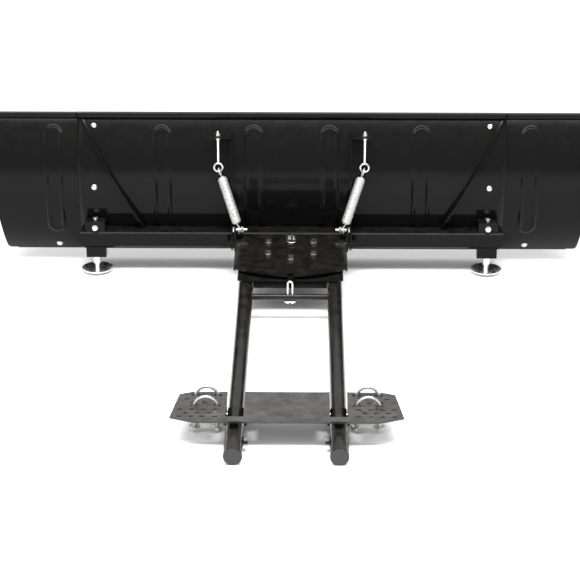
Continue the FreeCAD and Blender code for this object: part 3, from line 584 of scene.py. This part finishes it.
class PLOW_OT_springs(Operator):
    """Wind the two return springs: a helix along the spring's own line"""
    bl_idname = "plow.springs"
    bl_label = "Return Springs"

    def execute(self, context):
        shape = context.scene.plow_shape
        joints = {joint["name"]: joint for joint in frame["record"]["behaviour"]["joints"]}
        for side, _ in SIDES:
            axis = np.array(joints[f"spring_stretch_{side}"]["axis"])
            foot = np.array(joints[f"spring_turn_{side}"]["pos_m"])
            centre = np.array(middle(f"spring_coil_{side}"))
            along = float(np.dot(centre - foot, axis))
            start, end = foot + axis * COIL_END, foot + axis * (2 * along - COIL_END)
            across = np.cross(axis, (1.0, 0.0, 0.0))
            across /= np.linalg.norm(across)
            other = np.cross(axis, across)
            step = np.linspace(0, 1, shape.coil_turns * POINTS_PER_TURN)
            angle = 2 * np.pi * shape.coil_turns * step
            taper = 1 - 0.45 * (1 - smooth_step(np.minimum(step, 1 - step) * shape.coil_turns / 1.6))
            reach = (COIL_REACH - shape.wire / 2) * taper
            line = start + (end - start) * step[:, None]
            path = line + (across * np.cos(angle)[:, None] + other * np.sin(angle)[:, None]) * reach[:, None]
            points, faces = tube_along(path, shape.wire / 2, 9, axis)
            coil = mesh_object(f"coil_{side}", points, faces, "spring_steel")
            outward(coil)
            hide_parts(f"spring_coil_{side}")
            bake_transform(coil)
        return {"FINISHED"}


class PLOW_OT_blade(Operator):
    """Press the blade's centre sheet and its two end panels, ribs and all"""
    bl_idname = "plow.blade"
    bl_label = "Pressed Blade"

    def execute(self, context):
        radius = context.scene.plow_shape.radius
        low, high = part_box("moldboard")
        foot, half = low[2], high[0]
        top = high[2] - 0.002
        ribs = [(x, top - RIB_BELOW_TOP, foot + CENTRE_RIB_FOOT, False) for x in CENTRE_RIBS]
        xs = fine_steps(-half, half, [rib[0] for rib in ribs], 0.03, 0.02, 0.0011)
        ups = fine_steps(foot, top, (ribs[0][1] - 0.012,), 0.018, 0.006, 0.0012)
        pressed_sheet("moldboard", radius, xs, ups, ribs, lambda up: (-half, half))
        ends = ((-half, -half), (half, half))
        folded_lip("centre_lip", "moldboard", radius, ends, top - 0.010, high[2],
                   sheet_back(radius, top - 0.012) - 0.009)
        for side, sign in SIDES:
            self.end_panel(side, sign, radius - END_SETBACK)
        return {"FINISHED"}

    def end_panel(self, side, sign, radius):
        """End panel: its free end runs out and up, with the bottom corner cut off."""
        node = f"wing_{side}"
        low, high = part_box(node)
        foot, top = low[2], high[2]
        inner, outer = sorted((abs(low[0]), abs(high[0])))
        rib = (sign * END_RIB, top - RIB_BELOW_TOP, foot + END_RIB_FOOT, True)

        def free_end(up):
            cut = np.minimum(up - (foot + CORNER_CUT), 0)
            lean = END_LEAN * (top - np.maximum(up, foot + CORNER_CUT)) / (top - foot - CORNER_CUT)
            return outer - lean + cut

        def outline(up):
            if sign > 0:
                return inner, free_end(up)
            return -free_end(up), -inner

        start, stop = sorted((sign * inner, sign * outer))
        xs = fine_steps(start, stop, (rib[0],), 0.03, 0.012, 0.0011)
        xs = np.union1d(xs, np.arange(min(abs(start), abs(stop)) + 0.24, outer, 0.003) * sign)
        ups = fine_steps(foot, top, (foot + CORNER_CUT, rib[2] + 0.01, rib[1] - 0.012), 0.018, 0.006, 0.0012)
        pressed_sheet(node, radius, xs, ups, [rib], outline)
        near = sign * END_LIP_START
        far = (sign * float(free_end(top - 0.012)), sign * outer)
        folded_lip(f"end_lip_{side}", node, radius, ((near, near), far), top - 0.012, top,
                   sheet_back(radius, top - 0.012) - 0.006)


class PLOW_OT_stage(Operator):
    """Pale floor, soft studio light and the camera"""
    bl_idname = "plow.stage"
    bl_label = "Stage"

    def execute(self, context):
        settings = context.scene.plow_stage
        reach = FLOOR_REACH
        corners = [(-reach, -reach, 0), (reach, -reach, 0), (reach, reach, 0), (-reach, reach, 0)]
        mesh = bpy.data.meshes.new("floor")
        mesh.from_pydata(corners, [], [(0, 1, 2, 3)])
        floor = bpy.data.objects.new("floor", mesh)
        context.scene.collection.objects.link(floor)
        material, _, _, shader = new_material("Studio Floor")
        shader.inputs["Base Color"].default_value = (0.97, 0.97, 0.97, 1)
        shader.inputs["Roughness"].default_value = 0.7
        floor.data.materials.append(material)
        world = bpy.data.worlds.new("Studio")
        world.use_nodes = True
        world.node_tree.nodes["Background"].inputs["Color"].default_value = (1, 1, 1, 1)
        world.node_tree.nodes["Background"].inputs["Strength"].default_value = 0.95
        context.scene.world = world
        lights = (("key", (0.2, -1.2, 3.4), (2.4, 2.4), settings.key_power),
                  ("strip", (0.0, -0.9, 2.6), (3.2, 0.7), settings.strip_power),
                  ("left_fill", (-3.0, -0.6, 1.6), (1.4, 1.4), settings.key_power * 0.35))
        for name, place, size, power in lights:
            light = bpy.data.lights.new(name, "AREA")
            light.shape = "RECTANGLE"
            light.size, light.size_y = size
            light.energy = power
            lamp = bpy.data.objects.new(name, light)
            lamp.location = place
            lamp.rotation_euler = (Vector((0, 0, 0.2)) - Vector(place)).to_track_quat("-Z", "Y").to_euler()
            context.scene.collection.objects.link(lamp)
        camera = bpy.data.cameras.new("camera")
        camera.lens = settings.lens
        camera.sensor_width = 36.0
        viewer = bpy.data.objects.new("camera", camera)
        viewer.location = CAMERA_PLACE
        viewer.rotation_euler = (math.pi / 2 - settings.tilt, 0, CAMERA_YAW)
        context.scene.collection.objects.link(viewer)
        context.scene.camera = viewer
        context.scene.view_settings.view_transform = "Standard"
        return {"FINISHED"}


class PLOW_PT_panel(Panel):
    """Buttons for the plow's pieces, in the order they are made"""
    bl_label = "Snow Plow"
    bl_idname = "PLOW_PT_panel"
    bl_space_type = "VIEW_3D"
    bl_region_type = "UI"
    bl_category = "Snow Plow"

    def draw(self, context):
        for operator in OPERATORS:
            self.layout.operator(operator.bl_idname)
        for group in ("plow_paint", "plow_shape", "plow_stage"):
            settings = getattr(context.scene, group)
            for name in settings.__annotations__:
                self.layout.prop(settings, name)


SETTINGS = {"plow_paint": PlowPaintSettings, "plow_shape": PlowShapeSettings, "plow_stage": PlowStageSettings}
OPERATORS = (PLOW_OT_finishes, PLOW_OT_blade, PLOW_OT_springs, PLOW_OT_stage)


def register():
    for group in SETTINGS.values():
        bpy.utils.register_class(group)
    for cls in (*OPERATORS, PLOW_PT_panel):
        bpy.utils.register_class(cls)
    for name, group in SETTINGS.items():
        setattr(bpy.types.Scene, name, PointerProperty(type=group))


def unregister():
    for name in SETTINGS:
        delattr(bpy.types.Scene, name)
    for cls in (PLOW_PT_panel, *reversed(OPERATORS)):
        bpy.utils.unregister_class(cls)
    for group in reversed(list(SETTINGS.values())):
        bpy.utils.unregister_class(group)


def main():
    register()
    for operator in OPERATORS:
        space, call = operator.bl_idname.split(".")
        getattr(getattr(bpy.ops, space), call)()


if __name__ == "__main__":
    main()
